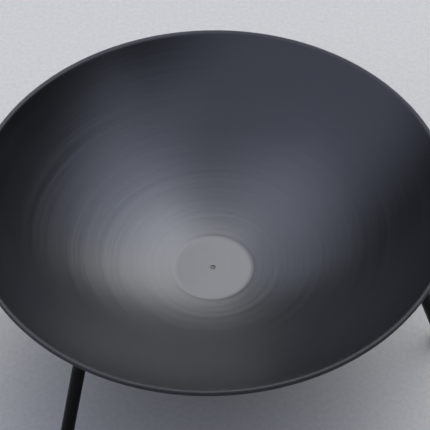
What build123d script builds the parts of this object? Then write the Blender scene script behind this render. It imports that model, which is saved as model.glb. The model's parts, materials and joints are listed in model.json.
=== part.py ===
"""A round steel fire bowl that stands on three plug-in tube legs.

Millimetres, +Z up. The origin is on the ground, on the bowl's axis, and -Y is the bowl's front.
"""

import os
from math import asin, atan2, cos, degrees, hypot, pi, radians, sin, sqrt, tan

from build123d import *

# Bowl
rim_diameter = 800.0  # over the lip
rim_height = 338.0  # ground to the centre of the bend at the rim
sheet = 2.0  # wall thickness
lip_bend = 2.3  # outer radius of the bend at the rim
lip_length = 5.5  # straight part of the turned-down lip
flare_radius = 11.0  # the wall eases outwards below the bend at the rim
flare_end = 22.0  # its slope where that bend begins, in degrees
bowl_depth = 204.0  # centre of the bend at the rim to the upper face of the floor
floor_radius = 65.0  # flat, slightly recessed floor
step_radius = 77.3  # where the floor's soft step meets the wall
step_rise = 1.9
wall_radius = 535.0  # radius of the wall's section
drain_radius = 5.0

# Legs
leg_azimuths = {"front_left": -39.6, "right": 80.4, "rear": 200.4}  # from -Y towards +X
splay = 19.8  # leg axis from the vertical, in degrees
leg_top_radius = 296.4  # where a leg's axis would cross the plane of the rim
shoulder_height = 213.0  # where the stub ends and the leg begins
tube_diameter = 22.0
tube_wall = 1.5
end_chamfer = 1.0

# Stub and spigot
spigot_diameter = 18.6
spigot_wall = 1.6
spigot_in_stub = 32.0
spigot_in_leg = 40.0
weld_radius = 3.0

# Foot cap
cap_diameter = 26.0
cap_height = 30.0
cap_floor = 10.0  # along the leg's axis, from the ground to the tube's end
cap_chamfer = 1.0

shoulder_to_rim = (rim_height - shoulder_height) / cos(radians(splay))
ground_to_shoulder = shoulder_height / cos(radians(splay))
lip_middle = lip_bend - sheet / 2
lip_ring_radius = rim_diameter / 2 - lip_bend
floor_middle = -bowl_depth - sheet / 2
rim_plane = Plane(origin=(0, 0, rim_height), x_dir=(1, 0, 0), z_dir=(0, -1, 0))


def wall_start():
    """Lower end of the wall's middle line, in the plane of the bowl's section."""
    return step_radius, floor_middle + step_rise


def wall_end():
    """Upper end of the wall's middle line, where the flare begins."""
    radius, height = wall_start()
    last = radians(flare_end)
    end = (lip_ring_radius, 0.0)
    for _ in range(6):
        run = end[0] - radius
        rise = end[1] - height
        slope = atan2(rise, run) + asin(hypot(run, rise) / 2 / wall_radius)
        flare_run = flare_radius * (sin(slope) - sin(last))
        flare_rise = flare_radius * (cos(last) - cos(slope))
        end = (
            lip_ring_radius - lip_middle * sin(last) - flare_run,
            lip_middle * cos(last) - flare_rise,
        )
    return end


def wall_slopes():
    """Slopes of the wall at its lower and upper ends, in radians."""
    run = wall_end()[0] - wall_start()[0]
    rise = wall_end()[1] - wall_start()[1]
    half_turn = asin(hypot(run, rise) / 2 / wall_radius)
    return atan2(rise, run) - half_turn, atan2(rise, run) + half_turn


def step_bends():
    """Radius, and steepest slope in radians, of the two equal bends between the floor and the wall."""
    slope = wall_slopes()[0]
    run = step_radius - floor_radius
    low, high = slope, pi / 2
    for _ in range(40):
        steepest = (low + high) / 2
        bend_radius = run / (2 * sin(steepest) - sin(slope))
        if bend_radius * (1 + cos(slope) - 2 * cos(steepest)) < step_rise:
            low = steepest
        else:
            high = steepest
    return bend_radius, steepest


def wall_underside(radius):
    """Height above the ground, and slope in degrees, of the wall's outer face at a radius."""
    start = Vector(*wall_start())
    end = Vector(*wall_end())
    middle = (start + end) / 2
    half_chord = (end - start).length / 2
    along = (end - start).normalized()
    normal = Vector(-along.Y, along.X)
    centre = middle + normal * sqrt(wall_radius**2 - half_chord**2)
    outer = wall_radius + sheet / 2
    offset_x = radius - centre.X
    height = centre.Y - sqrt(outer**2 - offset_x**2)
    return rim_height + height, degrees(asin(offset_x / outer))


def radius_at(height):
    """Distance of a leg's axis from the bowl's axis, at a height above the ground."""
    return leg_top_radius + (rim_height - height) * tan(radians(splay))


def leg_plane(azimuth, height):
    """A plane square to a leg's axis: local Z runs up the leg, local Y towards the bowl."""
    turn = radians(azimuth)
    outward = Vector(sin(turn), -cos(turn), 0)
    up_the_leg = Vector(0, 0, cos(radians(splay))) - outward * sin(radians(splay))
    origin = outward * radius_at(height) + Vector(0, 0, height)
    return Plane(origin=origin, x_dir=(cos(turn), sin(turn), 0), z_dir=up_the_leg)


def root_height():
    """Height at which a leg's axis meets the underside of the bowl."""
    low, high = shoulder_height, rim_height
    for _ in range(40):
        middle = (low + high) / 2
        if wall_underside(radius_at(middle))[0] > middle:
            low = middle
        else:
            high = middle
    return low


def weld_plane(azimuth):
    """The plane that touches the bowl's underside where a leg's axis meets it."""
    turn = radians(azimuth)
    height = root_height()
    slope = radians(wall_underside(radius_at(height))[1])
    outward = Vector(sin(turn), -cos(turn), 0)
    normal = outward * sin(slope) - Vector(0, 0, cos(slope))
    origin = outward * radius_at(height) + Vector(0, 0, height)
    return Plane(origin=origin, x_dir=(cos(turn), sin(turn), 0), z_dir=normal)


os.makedirs("parts", exist_ok=True)

# The bowl: one spun sheet with a recessed floor, its edge flared and turned down in a lip.
bend_radius, steepest = step_bends()
with BuildPart() as bowl:
    with BuildSketch(rim_plane):
        with BuildLine():
            floor = Line((drain_radius / 2, floor_middle), (floor_radius, floor_middle))
            wall = RadiusArc(wall_start(), wall_end(), -wall_radius)
            bend = JernArc(floor @ 1, floor % 1, bend_radius, degrees(steepest))
            TangentArc(bend @ 1, wall @ 0, tangent=bend % 1)
            flare = JernArc(wall @ 1, wall % 1, flare_radius, flare_end - degrees(wall_slopes()[1]))
            edge = JernArc(flare @ 1, flare % 1, lip_middle, -90 - flare_end)
            Line(edge @ 1, edge @ 1 + (edge % 1) * lip_length)
            offset(amount=sheet / 2, side=Side.BOTH)
        make_face()
    revolve(axis=Axis.Z)
    with Locations((0, 0, rim_height - bowl_depth)):
        Hole(drain_radius, depth=4 * sheet)
bowl.part.label = "bowl"
export_step(bowl.part, "parts/bowl.step")

# The room that the wall and the bowl's inside take up. It trims what is welded to the bowl.
with BuildPart() as bowl_space:
    with BuildSketch(rim_plane):
        with BuildLine():
            trim_ends = (step_radius, wall_end()[0])
            trim_points = [(radius, wall_underside(radius)[0] - rim_height) for radius in trim_ends]
            face = RadiusArc(*trim_points, -(wall_radius + sheet / 2))
            Polyline(face @ 1, (trim_ends[1], lip_length), (trim_ends[0], lip_length), face @ 0)
        make_face()
    revolve(axis=Axis.Z)


def ease_end(part, plane, last):
    """Take the sharp outer corner off the first or last end of a tube that stands on a plane."""
    ends = part.faces().sort_by(Axis(plane.origin, plane.z_dir))
    end = ends[-1] if last else ends[0]
    chamfer(end.outer_wire().edges(), end_chamfer)


def make_stub(name, azimuth):
    """A short tube, shaped to the bowl's underside and welded to it, and square at its lower end."""
    shoulder = leg_plane(azimuth, shoulder_height)
    with BuildPart() as stub:
        with BuildSketch(shoulder):
            Circle(tube_diameter / 2)
            Circle(spigot_diameter / 2, mode=Mode.SUBTRACT)
        extrude(amount=shoulder_to_rim)
        ease_end(stub, shoulder, last=False)
        add(bowl_space.part, mode=Mode.SUBTRACT)
    stub.part.label = f"stub_{name}"
    export_step(stub.part, f"parts/stub_{name}.step")


def make_spigot(name, azimuth):
    """A thinner tube, pressed into the stub, that the leg slides onto."""
    lower_end = leg_plane(azimuth, shoulder_height).offset(-spigot_in_leg)
    with BuildPart() as spigot:
        with BuildSketch(lower_end):
            Circle(spigot_diameter / 2)
            Circle(spigot_diameter / 2 - spigot_wall, mode=Mode.SUBTRACT)
        extrude(amount=spigot_in_leg + spigot_in_stub)
        ease_end(spigot, lower_end, last=False)
    spigot.part.label = f"spigot_{name}"
    export_step(spigot.part, f"parts/spigot_{name}.step")


def make_leg(name, azimuth):
    """A straight tube from the stub's shoulder down into the foot cap."""
    lower_end = leg_plane(azimuth, 0).offset(cap_floor)
    with BuildPart() as leg:
        with BuildSketch(lower_end):
            Circle(tube_diameter / 2)
            Circle(tube_diameter / 2 - tube_wall, mode=Mode.SUBTRACT)
        extrude(amount=ground_to_shoulder - cap_floor)
        ease_end(leg, lower_end, last=True)
    leg.part.label = f"leg_{name}"
    export_step(leg.part, f"parts/leg_{name}.step")


def make_foot_cap(name, azimuth):
    """A moulded cap over the leg's lower end, cut level where it stands on the ground."""
    ground = leg_plane(azimuth, 0)
    with BuildPart() as foot_cap:
        with BuildSketch(ground.offset(-cap_floor)):
            Circle(cap_diameter / 2)
        extrude(amount=cap_floor + cap_height)
        with BuildSketch(ground.offset(cap_floor)):
            Circle(tube_diameter / 2)
        extrude(amount=cap_height, mode=Mode.SUBTRACT)
        ease_end(foot_cap, ground, last=True)
        split(bisect_by=Plane.XY, keep=Keep.TOP)
        chamfer(foot_cap.faces().sort_by(Axis.Z)[0].edges(), cap_chamfer)
    foot_cap.part.label = f"foot_cap_{name}"
    export_step(foot_cap.part, f"parts/foot_cap_{name}.step")


# The weld beads, one ring round the root of each stub.
with BuildPart() as stub_welds:
    for azimuth in leg_azimuths.values():
        with Locations(weld_plane(azimuth)):
            Torus(tube_diameter / 2 + weld_radius / 5, weld_radius)
    for azimuth in leg_azimuths.values():
        with BuildSketch(leg_plane(azimuth, shoulder_height)):
            Circle(tube_diameter / 2)
        extrude(amount=shoulder_to_rim, mode=Mode.SUBTRACT)
    add(bowl_space.part, mode=Mode.SUBTRACT)
stub_welds.part.label = "stub_welds"
export_step(stub_welds.part, "parts/stub_welds.step")

for leg_name, leg_azimuth in leg_azimuths.items():
    make_stub(leg_name, leg_azimuth)
    make_spigot(leg_name, leg_azimuth)
    make_leg(leg_name, leg_azimuth)
    make_foot_cap(leg_name, leg_azimuth)
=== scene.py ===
"""Looks of a round steel fire bowl on three plug-in tube legs.

Metres, +Z up, in the CAD model's frame: the origin is on the ground, on the bowl's axis, and the front
is at -Y.
"""

import json
from functools import cache
from math import asin, atan2, ceil, cos, exp, hypot, pi, radians, sin, sqrt, tan

import bmesh
import bpy
from mathutils import Matrix, Vector


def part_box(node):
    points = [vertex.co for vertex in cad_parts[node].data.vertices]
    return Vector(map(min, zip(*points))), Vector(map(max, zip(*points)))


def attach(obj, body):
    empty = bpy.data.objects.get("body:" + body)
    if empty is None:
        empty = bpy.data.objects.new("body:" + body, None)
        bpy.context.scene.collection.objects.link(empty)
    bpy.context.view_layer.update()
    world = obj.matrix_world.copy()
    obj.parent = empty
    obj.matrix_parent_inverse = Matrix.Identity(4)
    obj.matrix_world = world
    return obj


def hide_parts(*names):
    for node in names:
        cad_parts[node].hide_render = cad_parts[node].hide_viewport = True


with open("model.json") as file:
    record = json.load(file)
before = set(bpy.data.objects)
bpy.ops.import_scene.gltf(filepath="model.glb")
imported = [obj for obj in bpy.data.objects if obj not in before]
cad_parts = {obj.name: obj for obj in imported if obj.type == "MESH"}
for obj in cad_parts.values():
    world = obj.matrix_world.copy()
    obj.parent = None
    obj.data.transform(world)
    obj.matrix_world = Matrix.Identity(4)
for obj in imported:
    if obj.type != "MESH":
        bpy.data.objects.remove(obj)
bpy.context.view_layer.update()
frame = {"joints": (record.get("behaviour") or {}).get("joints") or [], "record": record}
record = frame["record"]

# Bowl, as in the CAD model
RIM_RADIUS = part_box("bowl")[1].x
LIP_BEND = 0.0023
LIP_LENGTH = 0.0055
RIM_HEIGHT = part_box("bowl")[1].z - LIP_BEND
SHEET = 0.002
BOWL_DEPTH = 0.204
FLOOR_RADIUS = 0.065
STEP_RADIUS = 0.0773
STEP_RISE = 0.0019
WALL_RADIUS = 0.535
DRAIN_RADIUS = 0.005
FLARE_RADIUS = 0.011
FLARE_END = radians(22)

# Stubs, legs and caps, along a leg's axis from the ground
LEG_NAMES = ("front_left", "right", "rear")
SHOULDER_HEIGHT = 0.213
TUBE_RADIUS = 0.011
TUBE_WALL = 0.0015
SPIGOT_RADIUS = 0.0093
SPIGOT_WALL = 0.0016
SPIGOT_IN_STUB = 0.032
SPIGOT_IN_LEG = 0.040
EDGE_RADIUS = 0.0002
JOINT_EDGE = 0.00125
CAP_RADIUS = 0.013
CAP_HEIGHT = 0.030
CAP_FLOOR = 0.010
CAP_EDGE = 0.001

# Weld beads
WELD_LEG = 0.0034
WELD_RIPPLES = 34
WELD_RIPPLE_SIZE = 0.07  # share of the bead's size
WELD_WANDER = 0.05  # share of the bead's size
WELD_WAVES = 3
WELD_PHASE = 20  # per metre, so that no two beads are the same
WELD_HOLLOW = 0.16  # share of the bead's size
WELD_OVERLAP = 0.0004

# Mesh density
BOWL_SEGMENTS = 288
BOWL_PITCH = 0.002
TUBE_SEGMENTS = 72
ARC_STEP = radians(9)
CORNER_SHARES = (0.0, 0.25, 0.5, 0.75, 1.0)
CORNER_POINTS = len(CORNER_SHARES)
RIPPLE_POINTS = 6
WELD_STEPS = 8
SOLE_SEGMENTS = 3

# Mesh work
HALVINGS = 40
FLARE_PASSES = 6
SAME_POINT = 1e-7
ON_GROUND = 1e-6
SHARP_ANGLE = radians(50)


# ---------------------------------------------------------------- camera

CAMERA_POSITION = (0.0, -1.4457, 1.9348)
CAMERA_PITCH = radians(48.94)
CAMERA_YAW = radians(0.23)
CAMERA_ROLL = radians(-1.27)
CAMERA_LENS = 108.84
SENSOR_WIDTH = 36.0


def make_camera():
    """The camera, aimed by its pitch below the horizon, its yaw from +Y and its roll."""
    data = bpy.data.cameras.new("camera")
    data.lens = CAMERA_LENS
    data.sensor_width = SENSOR_WIDTH
    camera = bpy.data.objects.new("camera", data)
    bpy.context.scene.collection.objects.link(camera)
    forward = Vector((
        sin(CAMERA_YAW) * cos(CAMERA_PITCH),
        cos(CAMERA_YAW) * cos(CAMERA_PITCH),
        -sin(CAMERA_PITCH),
    ))
    level_right = Vector((cos(CAMERA_YAW), -sin(CAMERA_YAW), 0))
    level_up = level_right.cross(forward)
    right = cos(CAMERA_ROLL) * level_right + sin(CAMERA_ROLL) * level_up
    up = cos(CAMERA_ROLL) * level_up - sin(CAMERA_ROLL) * level_right
    turn = Matrix((right, up, -forward)).transposed().to_4x4()
    camera.matrix_world = Matrix.Translation(CAMERA_POSITION) @ turn
    bpy.context.scene.camera = camera


# ---------------------------------------------------------------- mesh helpers


def trace(start, heading, runs, pitch):
    """Points along straight runs and arcs, each with its heading. A run is (length, turn)."""
    points = [(Vector(start), heading)]
    place = Vector(start)
    for length, turn in runs:
        steps = max(ceil(length / pitch), ceil(abs(turn) / ARC_STEP), 1)
        half = turn / steps / 2
        chord = length / steps
        if half:
            chord *= sin(half) / half
        for _ in range(steps):
            heading += half
            place = place + Vector((cos(heading), sin(heading))) * chord
            heading += half
            points.append((place, heading))
    return points


def rounded(corners, radii):
    """A closed outline from (radius, height) corners in order, with each rounded by its own radius."""
    points = []
    for index, (corner, radius) in enumerate(zip(corners, radii)):
        here = Vector(corner)
        before = (Vector(corners[index - 1]) - here).normalized()
        after = (Vector(corners[(index + 1) % len(corners)]) - here).normalized()
        for share in CORNER_SHARES:
            away = before * (1 - share) ** 2 + after * share**2
            points.append(here + away * radius)
    return points


def spun(place, radius, turn, height):
    """The point at a radius, an angle and a height in a place's own frame."""
    return place @ Vector((radius * cos(turn), radius * sin(turn), height))


def turned(outline, segments, place):
    """A mesh turned round its local Z axis from a closed outline of (radius, height) points."""
    mesh = bmesh.new()
    rings = []
    for index in range(segments):
        turn = 2 * pi * index / segments
        ring = [spun(place, radius, turn, height) for radius, height in outline]
        rings.append([mesh.verts.new(point) for point in ring])
    join_rings(mesh, rings)
    return mesh


def join_rings(mesh, rings):
    """Faces between each ring of vertices and the next, and from the last to the first."""
    for ring, following in zip(rings, rings[1:] + rings[:1]):
        for index in range(len(ring)):
            mesh.faces.new((ring[index - 1], ring[index], following[index], following[index - 1]))
    bmesh.ops.remove_doubles(mesh, verts=mesh.verts, dist=SAME_POINT)
    bmesh.ops.recalc_face_normals(mesh, faces=mesh.faces)


def add_piece(name, mesh, body, slot, material, *nodes):
    """Turn a finished mesh into a piece that rides on a body and stands for CAD nodes."""
    data = bpy.data.meshes.new(name)
    mesh.to_mesh(data)
    mesh.free()
    data.shade_smooth()
    data.set_sharp_from_angle(angle=SHARP_ANGLE)
    data.materials.append(material)
    piece = bpy.data.objects.new(name, data)
    bpy.context.scene.collection.objects.link(piece)
    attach(piece, body)
    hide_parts(*nodes)
    return piece


# ---------------------------------------------------------------- the bowl's section


def bowl_runs():
    """The sheet's middle line as runs, from the drain hole's edge to the end of the lip."""
    lip = LIP_BEND - SHEET / 2
    lip_ring = RIM_RADIUS - LIP_BEND
    start = Vector((STEP_RADIUS, STEP_RISE - BOWL_DEPTH - SHEET / 2))
    end = Vector((lip_ring, 0))
    for _ in range(FLARE_PASSES):
        chord = end - start
        half_turn = asin(chord.length / 2 / WALL_RADIUS)
        slope = atan2(chord.y, chord.x)
        end_slope = slope + half_turn
        flare = Vector((sin(end_slope) - sin(FLARE_END), cos(FLARE_END) - cos(end_slope))) * FLARE_RADIUS
        end = Vector((lip_ring - lip * sin(FLARE_END), lip * cos(FLARE_END))) - flare
    first_slope = slope - half_turn
    low, high = first_slope, pi / 2
    for _ in range(HALVINGS):
        steepest = (low + high) / 2
        bend = (STEP_RADIUS - FLOOR_RADIUS) / (2 * sin(steepest) - sin(first_slope))
        if bend * (1 + cos(first_slope) - 2 * cos(steepest)) < STEP_RISE:
            low = steepest
        else:
            high = steepest
    ease = steepest - first_slope
    return (
        (FLOOR_RADIUS - DRAIN_RADIUS, 0.0),
        (bend * steepest, steepest),
        (bend * ease, -ease),
        (WALL_RADIUS * 2 * half_turn, 2 * half_turn),
        (FLARE_RADIUS * (end_slope - FLARE_END), FLARE_END - end_slope),
        (lip * (FLARE_END + pi / 2), -FLARE_END - pi / 2),
        (LIP_LENGTH, 0.0),
    ), start, first_slope


BOWL_RUNS, WALL_START, WALL_SLOPE = bowl_runs()
WALL_CENTRE = WALL_START + Vector((-sin(WALL_SLOPE), cos(WALL_SLOPE))) * WALL_RADIUS


def underside(radius):
    """Height above the ground of the wall's outer face."""
    drop = sqrt((WALL_RADIUS + SHEET / 2) ** 2 - (radius - WALL_CENTRE.x) ** 2)
    return RIM_HEIGHT + WALL_CENTRE.y - drop


def underside_normal(point):
    """The way that the wall's outer face looks at a point on it."""
    outward = Vector((point.x, point.y, 0)).normalized()
    lean = asin((hypot(point.x, point.y) - WALL_CENTRE.x) / (WALL_RADIUS + SHEET / 2))
    return outward * sin(lean) - Vector((0, 0, cos(lean)))


# Marks that the spinning roller left in the wall: share of the rim's radius, depth and width
SPIN_MARKS = (
    (0.295, 0.00005, 0.004),
    (0.481, 0.00006, 0.005),
    (0.615, 0.00006, 0.005),
    (0.764, 0.00006, 0.005),
    (0.791, -0.00004, 0.005),
)


def spin_mark(radius):
    """How far the wall is pressed in at a radius."""
    depth = 0.0
    for share, mark_depth, width in SPIN_MARKS:
        depth += mark_depth * exp(-(((radius - share * RIM_RADIUS) / width) ** 2))
    return depth


def make_bowl():
    """One spun sheet: a recessed floor with a drain hole, a curved wall and a turned-down lip."""
    start = (DRAIN_RADIUS, RIM_HEIGHT - BOWL_DEPTH - SHEET / 2)
    middle = trace(start, 0.0, BOWL_RUNS, BOWL_PITCH)
    upper, lower = [], []
    for point, heading in middle:
        normal = Vector((-sin(heading), cos(heading)))
        pressed = normal * spin_mark(point.x)
        upper.append(point + normal * SHEET / 2 - pressed)
        lower.append(point - normal * SHEET / 2 - pressed)
    mesh = turned(upper + lower[::-1], BOWL_SEGMENTS, Matrix.Identity(4))
    add_piece("bowl_shell", mesh, "root", "bowl_paint", bowl_paint(), "bowl")


# ---------------------------------------------------------------- stubs, legs and caps


def leg_frame(name):
    """A leg's own frame: its origin is on the ground, Z runs up the leg and Y towards the bowl."""
    mounts = {mount["name"]: mount for mount in record["mounts"]}
    joints = {joint["name"]: joint for joint in frame["joints"]}
    sole = Vector(mounts[f"sole_{name}"]["pos_m"])
    up = -Vector(joints[f"leg_{name}_pull"]["axis"]).normalized()
    side = up.cross(Vector((sole.x, sole.y, 0))).normalized()
    turn = Matrix((side, up.cross(side), up)).transposed().to_4x4()
    return Matrix.Translation(sole) @ turn


def shoulder(place):
    """How far up a leg's axis the stub ends and the leg begins."""
    return SHOULDER_HEIGHT / place.col[2].z


def under_bowl(place, radius, turn):
    """Where a line up a stub's wall meets the bowl's underside."""
    low, high = shoulder(place), RIM_HEIGHT / place.col[2].z
    for _ in range(HALVINGS):
        middle = (low + high) / 2
        point = spun(place, radius, turn, middle)
        if point.z < underside(hypot(point.x, point.y)):
            low = middle
        else:
            high = middle
    return spun(place, radius, turn, low)


def tube_outline(outer, inner, low, high, low_edge, high_edge):
    """The outline of a straight tube's wall, with its ends' outer edges rounded as asked."""
    corners = ((inner, low), (outer, low), (outer, high), (inner, high))
    return rounded(corners, (EDGE_RADIUS, low_edge, high_edge, EDGE_RADIUS))


def make_stub(name, place):
    """A short tube, square at its lower end and shaped to the bowl's underside at its upper end."""
    mesh = bmesh.new()
    low = shoulder(place)
    corners = ((TUBE_RADIUS, low + TUBE_RADIUS), (SPIGOT_RADIUS, low + TUBE_RADIUS),
               (SPIGOT_RADIUS, low), (TUBE_RADIUS, low))
    foot = rounded(corners, (0, 0, EDGE_RADIUS, JOINT_EDGE))[2 * CORNER_POINTS:]
    rings = []
    for index in range(TUBE_SEGMENTS):
        turn = 2 * pi * index / TUBE_SEGMENTS
        ring = [under_bowl(place, SPIGOT_RADIUS, turn)]
        ring += [spun(place, point.x, turn, point.y) for point in foot]
        ring.append(under_bowl(place, TUBE_RADIUS, turn))
        rings.append([mesh.verts.new(point) for point in ring])
    join_rings(mesh, rings)
    add_piece(f"stub_tube_{name}", mesh, "root", "frame_paint", tube_paint(), f"stub_{name}")


def make_weld(name, place):
    """The weld bead round a stub's root, with a ripple for each time the pool froze."""
    mesh = bmesh.new()
    count = RIPPLE_POINTS * WELD_RIPPLES
    down = -place.to_3x3().col[2]
    rings = []
    for index in range(count):
        turn = 2 * pi * index / count
        root = under_bowl(place, TUBE_RADIUS, turn)
        normal = underside_normal(root)
        away = place.to_3x3() @ Vector((cos(turn), sin(turn), 0))
        along = (away - normal * away.dot(normal)).normalized()
        ripple = (index % RIPPLE_POINTS) / RIPPLE_POINTS
        wander = sin(WELD_WAVES * turn + place.col[3].x * WELD_PHASE)
        size = WELD_LEG * (1 + WELD_RIPPLE_SIZE * (ripple - 0.5) + WELD_WANDER * wander)
        ring = [root - away * WELD_OVERLAP - normal * WELD_OVERLAP]
        for step in range(WELD_STEPS + 1):
            swing = pi / 2 * step / WELD_STEPS
            reach = size * (1 - WELD_HOLLOW * sin(2 * swing))
            ring.append(root + (along * cos(swing) + down * sin(swing)) * reach)
        rings.append([mesh.verts.new(point) for point in ring])
    join_rings(mesh, rings)
    add_piece(f"weld_bead_{name}", mesh, "root", "weld_paint", tube_paint(), "stub_welds")


def make_spigot(name, place):
    """The thinner tube that joins a leg to its stub."""
    low = shoulder(place) - SPIGOT_IN_LEG
    high = shoulder(place) + SPIGOT_IN_STUB
    inner = SPIGOT_RADIUS - SPIGOT_WALL
    outline = tube_outline(SPIGOT_RADIUS, inner, low, high, JOINT_EDGE, EDGE_RADIUS)
    mesh = turned(outline, TUBE_SEGMENTS, place)
    add_piece(f"spigot_tube_{name}", mesh, "root", "spigot_steel", plated_steel(), f"spigot_{name}")


def make_leg(name, place):
    """A straight tube from the stub's shoulder down into the foot cap."""
    inner = TUBE_RADIUS - TUBE_WALL
    outline = tube_outline(TUBE_RADIUS, inner, CAP_FLOOR, shoulder(place), EDGE_RADIUS, JOINT_EDGE)
    mesh = turned(outline, TUBE_SEGMENTS, place)
    add_piece(f"leg_tube_{name}", mesh, f"leg_{name}", "frame_paint", tube_paint(), f"leg_{name}")


def make_foot_cap(name, place):
    """A moulded cap over the leg's lower end, cut level where it stands on the ground."""
    outline = [(0, -CAP_FLOOR), (CAP_RADIUS, -CAP_FLOOR)]
    top = ((CAP_RADIUS, 0), (CAP_RADIUS, CAP_HEIGHT), (TUBE_RADIUS, CAP_HEIGHT))
    outline += rounded(top, (0, CAP_EDGE, 0))[CORNER_POINTS:2 * CORNER_POINTS]
    outline += [(TUBE_RADIUS, CAP_HEIGHT), (TUBE_RADIUS, CAP_FLOOR), (0, CAP_FLOOR)]
    mesh = turned(outline, TUBE_SEGMENTS, place)
    whole = mesh.verts[:] + mesh.edges[:] + mesh.faces[:]
    bmesh.ops.bisect_plane(mesh, geom=whole, plane_co=(0, 0, 0), plane_no=(0, 0, -1), clear_outer=True)
    bmesh.ops.holes_fill(mesh, edges=[edge for edge in mesh.edges if edge.is_boundary])
    sole = [edge for edge in mesh.edges if max(abs(vert.co.z) for vert in edge.verts) < ON_GROUND]
    bmesh.ops.bevel(
        mesh, geom=sole, offset=CAP_EDGE, segments=SOLE_SEGMENTS, profile=0.5, affect="EDGES"
    )
    add_piece(f"foot_{name}", mesh, f"leg_{name}", "cap_plastic", cap_plastic(), f"foot_cap_{name}")


# ---------------------------------------------------------------- materials

BOWL_DARK, BOWL_LIGHT = (0.0030, 0.0030, 0.0032), (0.0049, 0.0049, 0.0053)
TUBE_DARK, TUBE_LIGHT = (0.0010, 0.0010, 0.0011), (0.0018, 0.0018, 0.0020)
STEEL_DARK, STEEL_LIGHT = (0.48, 0.49, 0.50), (0.62, 0.62, 0.62)
CAP_BLACK, CAP_SCUFFED = (0.018, 0.018, 0.018), (0.075, 0.072, 0.068)
FLOOR_DARK, FLOOR_LIGHT = (0.262, 0.252, 0.224), (0.309, 0.297, 0.264)
PAINT_ROUGHNESS = (0.28, 0.34)  # nowhere below 0.28, where the denoiser draws false thin lines
STEEL_ROUGHNESS = (0.30, 0.45)
CAP_ROUGHNESS = (0.55, 0.70)
FLOOR_ROUGHNESS = 0.9
TUBE_SPECULAR = 0.10
RIM_ROUGHNESS = 0.40  # added to the paint's
RIM_BAND = 0.008
SCUFF_HEIGHT = 0.006


def new_material(name):
    """A material with its node tree, shader and object coordinates."""
    material = bpy.data.materials.new(name)
    material.use_nodes = True
    tree = material.node_tree
    shader = next(node for node in tree.nodes if node.type == "BSDF_PRINCIPLED")
    coordinates = tree.nodes.new("ShaderNodeTexCoord")
    return material, tree, shader, coordinates.outputs["Object"]


def noise(tree, vector, scale, detail=3.0, roughness=0.5):
    """A noise texture's value."""
    node = tree.nodes.new("ShaderNodeTexNoise")
    node.inputs["Scale"].default_value = scale
    node.inputs["Detail"].default_value = detail
    node.inputs["Roughness"].default_value = roughness
    tree.links.new(vector, node.inputs["Vector"])
    return node.outputs["Fac"]


def spread(tree, value, low, high, from_low=0.3, from_high=0.7):
    """A value mapped from a noise's usual range to a range of its own."""
    node = tree.nodes.new("ShaderNodeMapRange")
    node.inputs["From Min"].default_value = from_low
    node.inputs["From Max"].default_value = from_high
    node.inputs["To Min"].default_value = low
    node.inputs["To Max"].default_value = high
    tree.links.new(value, node.inputs["Value"])
    return node.outputs["Result"]


def math_node(tree, operation, first, second):
    """The result of a sum or product of two values, each a socket or a number."""
    node = tree.nodes.new("ShaderNodeMath")
    node.operation = operation
    for socket, value in zip(node.inputs, (first, second)):
        if isinstance(value, (int, float)):
            socket.default_value = value
        else:
            tree.links.new(value, socket)
    return node.outputs["Value"]


def colour_between(tree, value, first, second):
    """A colour mixed from two by a value from 0 to 1."""
    node = tree.nodes.new("ShaderNodeMix")
    node.data_type = "RGBA"
    tree.links.new(value, node.inputs["Factor"])
    node.inputs["A"].default_value = (*first, 1)
    node.inputs["B"].default_value = (*second, 1)
    return node.outputs["Result"]


def bump(tree, shader, height, distance, below=None):
    """Bump from a height in units of distance, laid over another bump."""
    node = tree.nodes.new("ShaderNodeBump")
    node.inputs["Strength"].default_value = 1.0
    node.inputs["Distance"].default_value = distance
    tree.links.new(height, node.inputs["Height"])
    if below:
        tree.links.new(below, node.inputs["Normal"])
    tree.links.new(node.outputs["Normal"], shader.inputs["Normal"])
    return node.outputs["Normal"]


def polar(tree, position):
    """A point's distance from the Z axis, and the X and Y parts of its direction from that axis."""
    flat = tree.nodes.new("ShaderNodeVectorMath")
    flat.operation = "MULTIPLY"
    flat.inputs[1].default_value = (1, 1, 0)
    tree.links.new(position, flat.inputs[0])
    length = tree.nodes.new("ShaderNodeVectorMath")
    length.operation = "LENGTH"
    tree.links.new(flat.outputs["Vector"], length.inputs[0])
    direction = tree.nodes.new("ShaderNodeVectorMath")
    direction.operation = "NORMALIZE"
    tree.links.new(flat.outputs["Vector"], direction.inputs[0])
    parts = tree.nodes.new("ShaderNodeSeparateXYZ")
    tree.links.new(direction.outputs["Vector"], parts.inputs["Vector"])
    return length.outputs["Value"], parts.outputs["X"], parts.outputs["Y"]


def ring_coordinates(tree, place, across, around):
    """Coordinates that change fast with a polar place's distance and slowly with its direction."""
    joined = tree.nodes.new("ShaderNodeCombineXYZ")
    for value, scale, name in zip(place, (across, around, around), "XYZ"):
        tree.links.new(math_node(tree, "MULTIPLY", value, scale), joined.inputs[name])
    return joined.outputs["Vector"]


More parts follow.
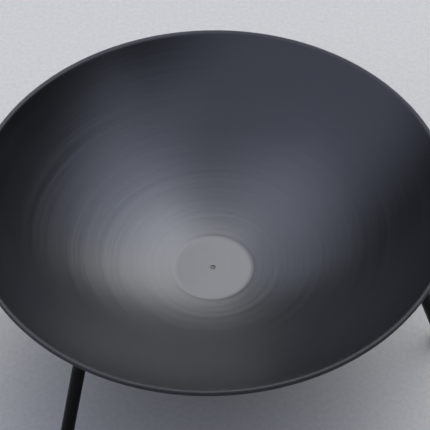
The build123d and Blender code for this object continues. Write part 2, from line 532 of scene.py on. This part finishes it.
def bowl_paint():
    """Satin black stove paint over a spun sheet: rings, brush arcs, soft patches and a duller rim."""
    material, tree, shader, position = new_material("satin_black_bowl")
    place = polar(tree, position)
    rings = noise(tree, ring_coordinates(tree, place, across=75.0, around=0.5), 1.0, roughness=0.55)
    arcs = noise(tree, ring_coordinates(tree, place, across=190.0, around=3.1), 1.0, detail=2.0)
    patches = noise(tree, position, 6.0)
    peel = noise(tree, position, 700.0, detail=2.0)
    ring_part = math_node(tree, "MULTIPLY", rings, 0.5)
    patch_part = math_node(tree, "MULTIPLY", patches, 0.3)
    arc_part = math_node(tree, "MULTIPLY", arcs, 0.2)
    blend = math_node(tree, "ADD", math_node(tree, "ADD", ring_part, patch_part), arc_part)
    colour = colour_between(tree, spread(tree, blend, 0, 1), BOWL_DARK, BOWL_LIGHT)
    tree.links.new(colour, shader.inputs["Base Color"])
    rim = spread(tree, place[0], 0.0, RIM_ROUGHNESS, RIM_RADIUS - RIM_BAND, RIM_RADIUS - RIM_BAND / 2)
    roughness = math_node(tree, "ADD", spread(tree, blend, *PAINT_ROUGHNESS), rim)
    tree.links.new(roughness, shader.inputs["Roughness"])
    under = bump(tree, shader, rings, 0.00022)
    under = bump(tree, shader, arcs, 0.00005, under)
    bump(tree, shader, peel, 0.00001, under)
    return material


@cache
def tube_paint():
    """Satin black powder coat on the stubs and legs, with a fine peel."""
    material, tree, shader, position = new_material("satin_black_tube")
    patches = noise(tree, position, 30.0, detail=4.0, roughness=0.6)
    peel = noise(tree, position, 900.0, detail=2.0)
    colour = colour_between(tree, spread(tree, patches, 0, 1), TUBE_DARK, TUBE_LIGHT)
    tree.links.new(colour, shader.inputs["Base Color"])
    tree.links.new(spread(tree, patches, *PAINT_ROUGHNESS), shader.inputs["Roughness"])
    shader.inputs["Specular IOR Level"].default_value = TUBE_SPECULAR
    bump(tree, shader, peel, 0.00002)
    return material


@cache
def plated_steel():
    """Zinc-plated steel tube, a little cloudy, with fine pits and scratches."""
    material, tree, shader, position = new_material("plated_steel")
    clouds = noise(tree, position, 160.0, detail=4.0, roughness=0.6)
    scratches = noise(tree, position, 1500.0, detail=2.0, roughness=0.6)
    colour = colour_between(tree, spread(tree, clouds, 0, 1), STEEL_DARK, STEEL_LIGHT)
    tree.links.new(colour, shader.inputs["Base Color"])
    tree.links.new(spread(tree, clouds, *STEEL_ROUGHNESS), shader.inputs["Roughness"])
    shader.inputs["Metallic"].default_value = 1.0
    bump(tree, shader, scratches, 0.00002)
    return material


@cache
def cap_plastic():
    """Black moulded plastic with a fine texture, scuffed where it meets the ground."""
    material, tree, shader, position = new_material("moulded_black")
    grain = noise(tree, position, 1200.0, detail=2.0)
    patches = noise(tree, position, 90.0, detail=4.0, roughness=0.6)
    height = tree.nodes.new("ShaderNodeSeparateXYZ")
    tree.links.new(position, height.inputs["Vector"])
    low = spread(tree, height.outputs["Z"], 1.0, 0.0, 0.0, SCUFF_HEIGHT)
    scuff = math_node(tree, "MULTIPLY", low, spread(tree, patches, 0, 1))
    colour = colour_between(tree, scuff, CAP_BLACK, CAP_SCUFFED)
    tree.links.new(colour, shader.inputs["Base Color"])
    tree.links.new(spread(tree, grain, *CAP_ROUGHNESS), shader.inputs["Roughness"])
    bump(tree, shader, grain, 0.00003)
    return material


def floor_material():
    """Plain pale floor."""
    material, tree, shader, position = new_material("floor")
    speckle = noise(tree, position, 120.0, detail=4.0, roughness=0.7)
    colour = colour_between(tree, spread(tree, speckle, 0, 1), FLOOR_DARK, FLOOR_LIGHT)
    tree.links.new(colour, shader.inputs["Base Color"])
    shader.inputs["Roughness"].default_value = FLOOR_ROUGHNESS
    return material


# ---------------------------------------------------------------- floor and light

FLOOR_EXTENT = 6.0
FLOOR_SIDES = 96
WORLD_COLOUR = (0.95, 0.97, 1.0, 1)
WORLD_LIGHT = 0.02
WORLD_SEEN = 0.6

LIGHT_DISTANCE = 10.0
WIDEST_HALF_HEIGHT = 46

# Each light is three rectangles, so that its edge is soft. The larger are nearer, because in one plane
# they would hide each other. Their shares of the light's size, and the strength of each:
LIGHT_SHARES = (0.8, 1.0, 1.2)
LAYER_STRENGTH = 1 / 3.06

# Name, azimuth from +Y towards +X, elevation, half width and half height, in degrees, and radiance
LIGHTS = (
    ("key", 16, 52, 19, 25, (4.80, 4.80, 4.75)),
    ("overhead", 5, 66, 39, 32, (1.76, 1.92, 2.38)),
    ("right", 92, 62, 33, 20, (1.34, 1.47, 1.92)),
    ("left", 237, 41, 49, 43, (1.07, 1.17, 1.56)),
)


def make_floor():
    """The floor, which isn't part of the object. It is round, so its edge looks alike from all sides."""
    mesh = bmesh.new()
    turns = [2 * pi * index / FLOOR_SIDES for index in range(FLOOR_SIDES)]
    corners = [Vector((cos(turn), sin(turn), 0)) * FLOOR_EXTENT for turn in turns]
    mesh.faces.new([mesh.verts.new(corner) for corner in corners])
    data = bpy.data.meshes.new("floor")
    mesh.to_mesh(data)
    mesh.free()
    data.materials.append(floor_material())
    floor = bpy.data.objects.new("floor", data)
    bpy.context.scene.collection.objects.link(floor)


def make_light(name, azimuth, elevation, half_width, half_height, radiance, share):
    """One rectangle of a large soft light aimed at the bowl."""
    distance = LIGHT_DISTANCE + 1 - share
    data = bpy.data.lights.new(name, "AREA")
    data.shape = "RECTANGLE"
    data.size = 2 * distance * tan(radians(half_width * share))
    data.size_y = 2 * distance * tan(radians(min(half_height * share, WIDEST_HALF_HEIGHT)))
    data.energy = pi * data.size * data.size_y * LAYER_STRENGTH
    data.color = radiance
    light = bpy.data.objects.new(name, data)
    bpy.context.scene.collection.objects.link(light)
    light.visible_camera = False
    turn, lift = radians(azimuth), radians(elevation)
    away = Vector((sin(turn) * cos(lift), cos(turn) * cos(lift), sin(lift)))
    light.location = away * distance
    light.rotation_mode = "QUATERNION"
    light.rotation_quaternion = away.to_track_quat("Z", "Y")


def make_world():
    """A pale backdrop that gives only a little light."""
    world = bpy.data.worlds.new("world")
    bpy.context.scene.world = world
    world.use_nodes = True
    tree = world.node_tree
    background = tree.nodes["Background"]
    background.inputs["Color"].default_value = WORLD_COLOUR
    path = tree.nodes.new("ShaderNodeLightPath")
    strength = spread(tree, path.outputs["Is Camera Ray"], WORLD_LIGHT, WORLD_SEEN, 0.0, 1.0)
    tree.links.new(strength, background.inputs["Strength"])


bpy.context.scene.view_settings.view_transform = "Standard"
make_camera()
make_floor()
make_world()
for light in LIGHTS:
    for light_share in LIGHT_SHARES:
        make_light(*light, light_share)
make_bowl()
for leg_name in LEG_NAMES:
    leg_place = leg_frame(leg_name)
    make_stub(leg_name, leg_place)
    make_weld(leg_name, leg_place)
    make_spigot(leg_name, leg_place)
    make_leg(leg_name, leg_place)
    make_foot_cap(leg_name, leg_place)
